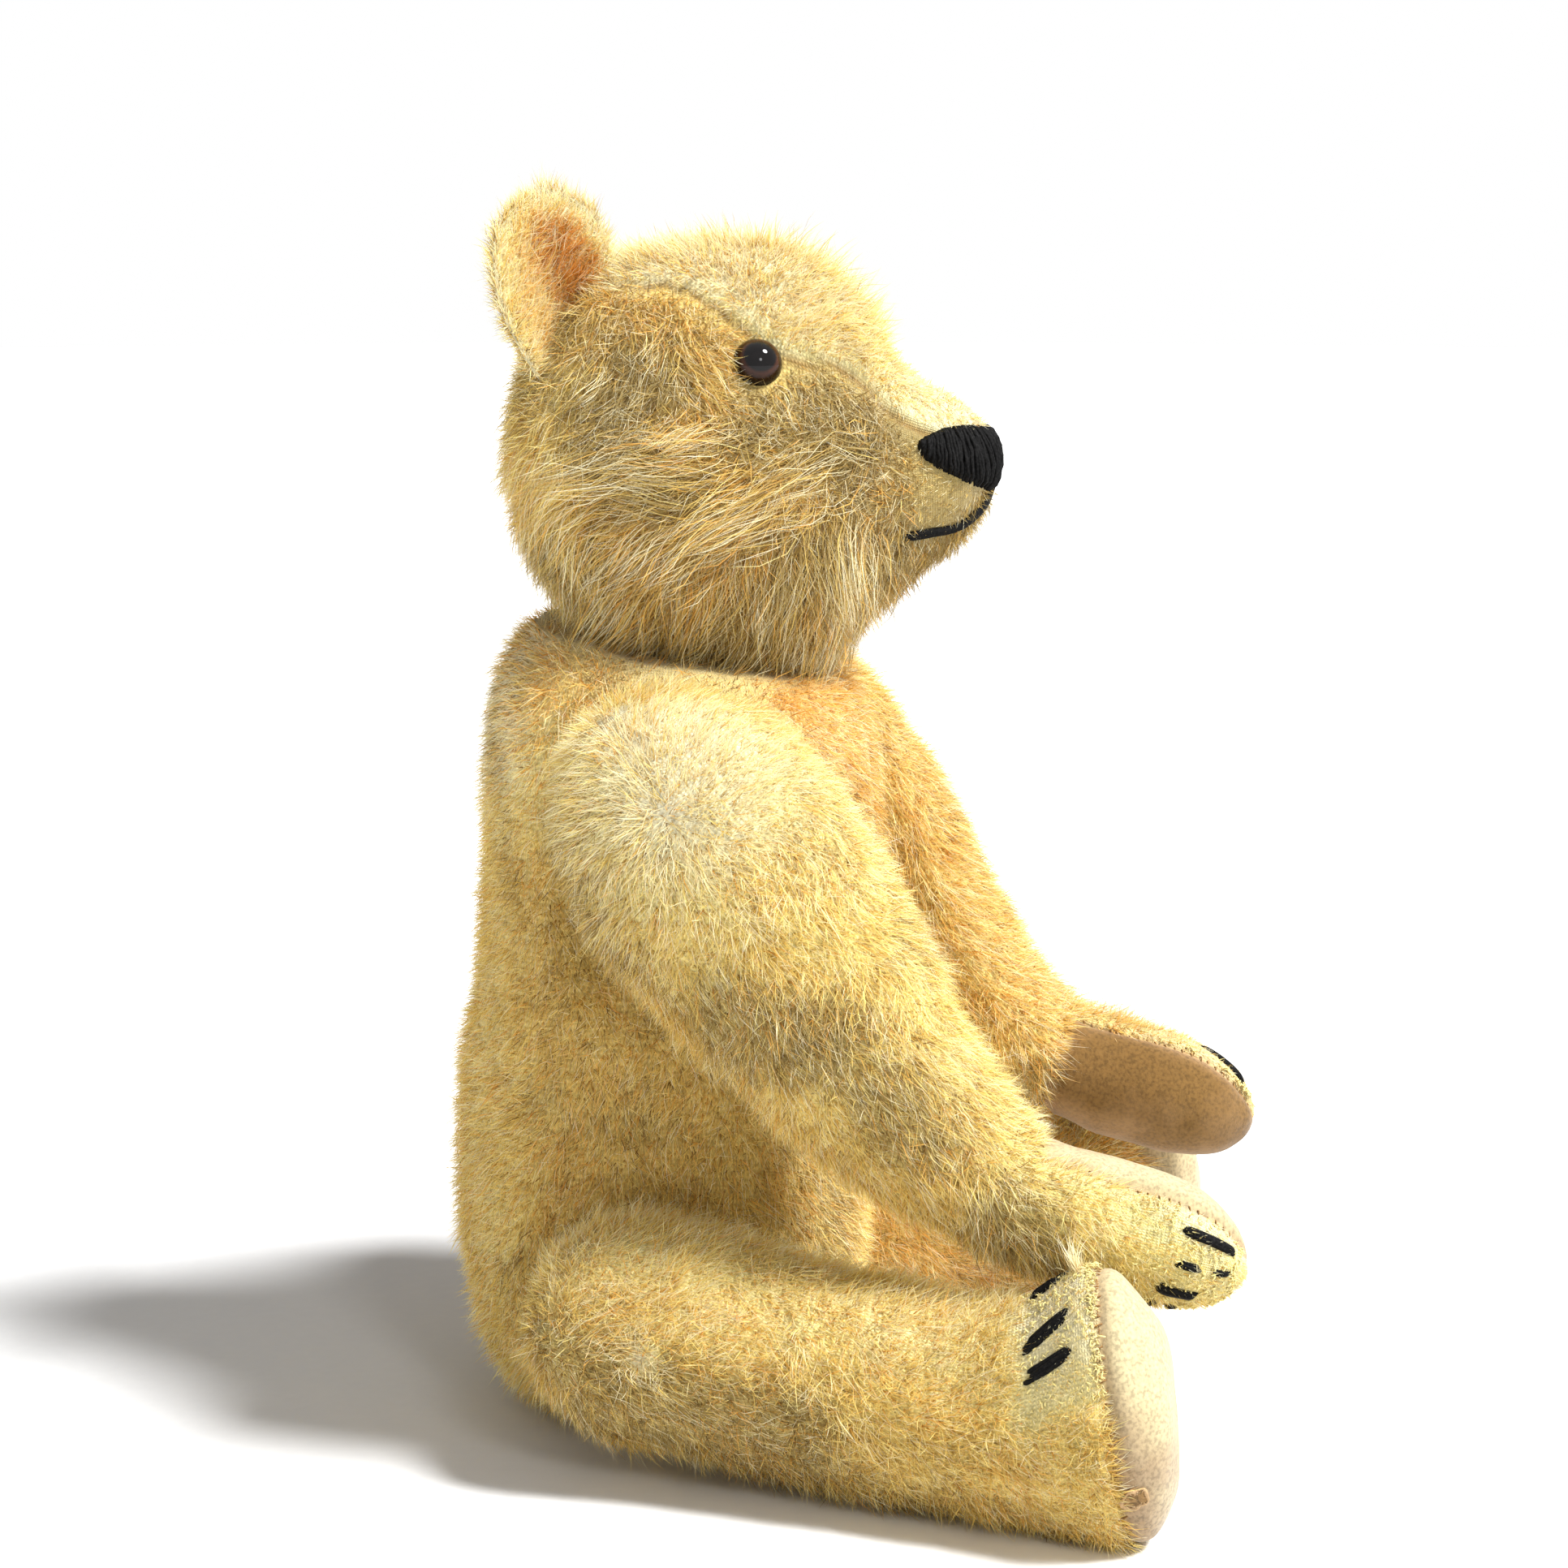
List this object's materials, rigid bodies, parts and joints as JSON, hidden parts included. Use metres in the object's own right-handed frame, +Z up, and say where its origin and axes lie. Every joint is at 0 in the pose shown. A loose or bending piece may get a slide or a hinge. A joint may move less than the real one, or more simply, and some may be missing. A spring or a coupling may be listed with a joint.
{
  "type": "jointed teddy bear",
  "caption": "Worn honey-blond mohair teddy bear, seated, with a disc joint at the neck and at each shoulder and hip, glass eyes, felt pads and a stitched nose and claws.",
  "frame": {"origin": "centre of the flat underside of the torso, on the surface the bear sits on", "axes": "+Z up, the bear faces -Y, its own left side is +X"},
  "size_m": [0.1552, 0.1313, 0.1989],
  "materials": {
    "mohair": "honey-blond mohair plush, threadbare on the muzzle and along the seams, soiled greyish underneath",
    "felt": "worn peach-beige wool felt with fine speckling",
    "black_thread": "black embroidery thread in long satin stitches",
    "eye_glass": "glossy brown-black glass with a dark pupil",
    "wood_wool": "packed wood wool",
    "hardboard": "plain hardboard",
    "steel": "plain steel wire and washer"
  },
  "bodies": {
    "torso": {"torso_cover": "mohair", "torso_stuffing": "wood_wool", "neck_torso_disc": "hardboard", "neck_cotter_pin": "steel", "shoulder_right_torso_disc": "hardboard", "shoulder_right_cotter_pin": "steel", "hip_right_torso_disc": "hardboard", "hip_right_cotter_pin": "steel", "shoulder_left_torso_disc": "hardboard", "shoulder_left_cotter_pin": "steel", "hip_left_torso_disc": "hardboard", "hip_left_cotter_pin": "steel"},
    "head": {"head_cover": "mohair", "head_stuffing": "wood_wool", "nose_stitching": "black_thread", "mouth_stitching": "black_thread", "eye_right": "eye_glass", "ear_right": "mohair", "eye_left": "eye_glass", "ear_left": "mohair", "neck_limb_disc": "hardboard", "neck_washer": "steel"},
    "arm_right": {"arm_right_cover": "mohair", "arm_right_stuffing": "wood_wool", "paw_pad_right": "felt", "shoulder_right_limb_disc": "hardboard", "shoulder_right_washer": "steel", "paw_right_claw_1": "black_thread", "paw_right_claw_2": "black_thread", "paw_right_claw_3": "black_thread", "paw_right_claw_4": "black_thread"},
    "leg_right": {"leg_right_cover": "mohair", "leg_right_stuffing": "wood_wool", "foot_pad_right": "felt", "hip_right_limb_disc": "hardboard", "hip_right_washer": "steel", "foot_right_claw_1": "black_thread", "foot_right_claw_2": "black_thread", "foot_right_claw_3": "black_thread", "foot_right_claw_4": "black_thread"},
    "arm_left": {"arm_left_cover": "mohair", "arm_left_stuffing": "wood_wool", "paw_pad_left": "felt", "shoulder_left_limb_disc": "hardboard", "shoulder_left_washer": "steel", "paw_left_claw_1": "black_thread", "paw_left_claw_2": "black_thread", "paw_left_claw_3": "black_thread", "paw_left_claw_4": "black_thread"},
    "leg_left": {"leg_left_cover": "mohair", "leg_left_stuffing": "wood_wool", "foot_pad_left": "felt", "hip_left_limb_disc": "hardboard", "hip_left_washer": "steel", "foot_left_claw_1": "black_thread", "foot_left_claw_2": "black_thread", "foot_left_claw_3": "black_thread", "foot_left_claw_4": "black_thread"}
  },
  "joints": [
    {"name": "neck_turn", "type": "hinge", "parent": "torso", "child": "head", "pos_m": [0, -0.0044, 0.126], "axis": [0, -0.1736, 0.9848], "continuous": true},
    {"name": "shoulder_right_turn", "type": "hinge", "parent": "torso", "child": "arm_right", "pos_m": [-0.0323, -0.006, 0.108], "axis": [-1, 0, 0], "range_deg": [-2, 235]},
    {"name": "hip_right_turn", "type": "hinge", "parent": "torso", "child": "leg_right", "pos_m": [-0.0323, -0.0015, 0.0235], "axis": [-1, 0, 0], "range_deg": [-190, 2]},
    {"name": "shoulder_left_turn", "type": "hinge", "parent": "torso", "child": "arm_left", "pos_m": [0.0323, -0.006, 0.108], "axis": [-1, 0, 0], "range_deg": [-2, 235]},
    {"name": "hip_left_turn", "type": "hinge", "parent": "torso", "child": "leg_left", "pos_m": [0.0323, -0.0015, 0.0235], "axis": [-1, 0, 0], "range_deg": [-190, 2]}
  ]
}
